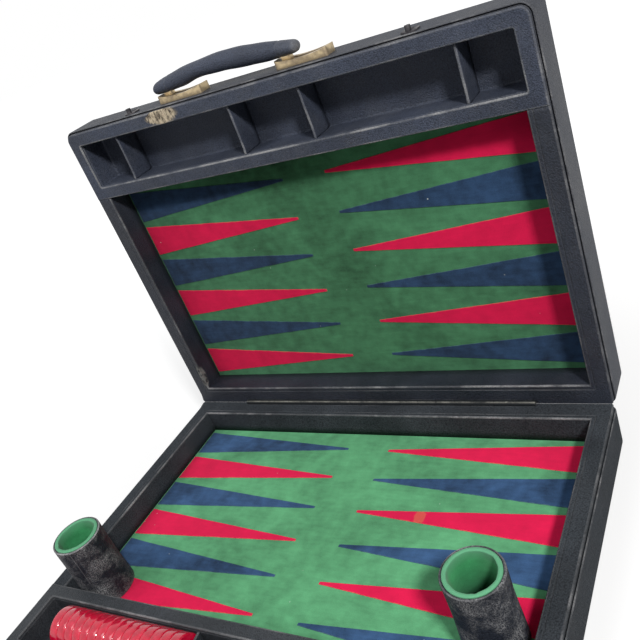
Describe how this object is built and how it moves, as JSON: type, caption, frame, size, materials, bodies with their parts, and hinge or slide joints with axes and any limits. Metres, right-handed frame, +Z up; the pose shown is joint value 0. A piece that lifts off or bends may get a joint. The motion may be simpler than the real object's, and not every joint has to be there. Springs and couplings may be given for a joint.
{
  "type": "backgammon board in a folding case",
  "caption": "Folding leather-covered backgammon case, open for play, with felt field, suede points, checker trays, dice cups and carrying handle.",
  "frame": {"origin": "centre of the bounding box, at the level the lower half stands on", "axes": "+Z up; X along the hinge, the longest side; -Y faces the player and +Y is behind the upright lid"},
  "size_m": [0.465, 0.3836, 0.405],
  "materials": {
    "case_leather": "worn, scuffed light along the edges",
    "tray_leather": "worn, scuffed light along the edges",
    "handle_leather": "padded and rubbed smooth",
    "cup_leather": "stitched up one side",
    "green_felt": "short felt",
    "red_suede": "suede",
    "navy_suede": "suede",
    "cup_felt": "thick felt, paler at the lip",
    "bare_wood": "unfinished",
    "hinge_black": "painted black, worn through in places",
    "steel": "plain",
    "brass": "dull, bright where rubbed",
    "red_marbled": "glossy, marbled",
    "ivory_marbled": "glossy, marbled"
  },
  "bodies": {
    "lower_half": {"lower_shell": "case_leather", "lower_liner": "case_leather", "lower_field": "green_felt", "lower_battens": "bare_wood", "lower_red_points": "red_suede", "lower_navy_points": "navy_suede", "lower_tray": "tray_leather", "lower_tray_dividers": "tray_leather", "lower_hinge_leaf": "hinge_black", "lower_hinge_screws": "steel", "hinge_pin": "steel", "latch_plates": "brass", "latch_rivets": "brass", "latch_pins": "steel"},
    "lid": {"lid_shell": "case_leather", "lid_liner": "case_leather", "lid_field": "green_felt", "lid_battens": "bare_wood", "lid_red_points": "red_suede", "lid_navy_points": "navy_suede", "lid_tray": "tray_leather", "lid_tray_dividers": "tray_leather", "lid_hinge_leaf": "hinge_black", "lid_hinge_screws": "steel", "handle_tracks": "brass", "handle_track_rivets": "brass", "latch_strikes": "brass", "strike_rivets": "brass"},
    "handle": {"handle_grip": "handle_leather", "handle_feet": "brass"},
    "left_hasp": {"left_hasp": "brass"},
    "right_hasp": {"right_hasp": "brass"},
    "left_cup": {"left_cup_body": "cup_leather", "left_cup_base": "cup_leather", "left_cup_lining": "cup_felt"},
    "right_cup": {"right_cup_body": "cup_leather", "right_cup_base": "cup_leather", "right_cup_lining": "cup_felt"},
    "red_checkers": {"red_checkers": "red_marbled"},
    "ivory_checkers": {"ivory_checkers": "ivory_marbled"}
  },
  "joints": [
    {"name": "lid_hinge", "type": "hinge", "parent": "lower_half", "child": "lid", "pos_m": [0, 0.1503, 0.0415], "axis": [-1, 0, 0], "range_deg": [-79.5, 90]},
    {"name": "handle_slide", "type": "slide", "parent": "lid", "child": "handle", "axis": [1, 0, 0], "range_m": [0, 0.03]},
    {"name": "left_hasp_hinge", "type": "hinge", "parent": "lower_half", "child": "left_hasp", "pos_m": [-0.143, -0.1898, 0.032], "axis": [-1, 0, 0], "range_deg": [0, 175]},
    {"name": "right_hasp_hinge", "type": "hinge", "parent": "lower_half", "child": "right_hasp", "pos_m": [0.143, -0.1898, 0.032], "axis": [-1, 0, 0], "range_deg": [0, 175]},
    {"name": "left_cup_lift", "type": "slide", "parent": "lower_half", "child": "left_cup", "axis": [0, 0, 1], "range_m": [0, 0.12]},
    {"name": "right_cup_lift", "type": "slide", "parent": "lower_half", "child": "right_cup", "axis": [0, 0, 1], "range_m": [0, 0.12]},
    {"name": "red_checkers_lift", "type": "slide", "parent": "lower_half", "child": "red_checkers", "axis": [0, 0, 1], "range_m": [0, 0.07]},
    {"name": "ivory_checkers_lift", "type": "slide", "parent": "lower_half", "child": "ivory_checkers", "axis": [0, 0, 1], "range_m": [0, 0.07]}
  ]
}
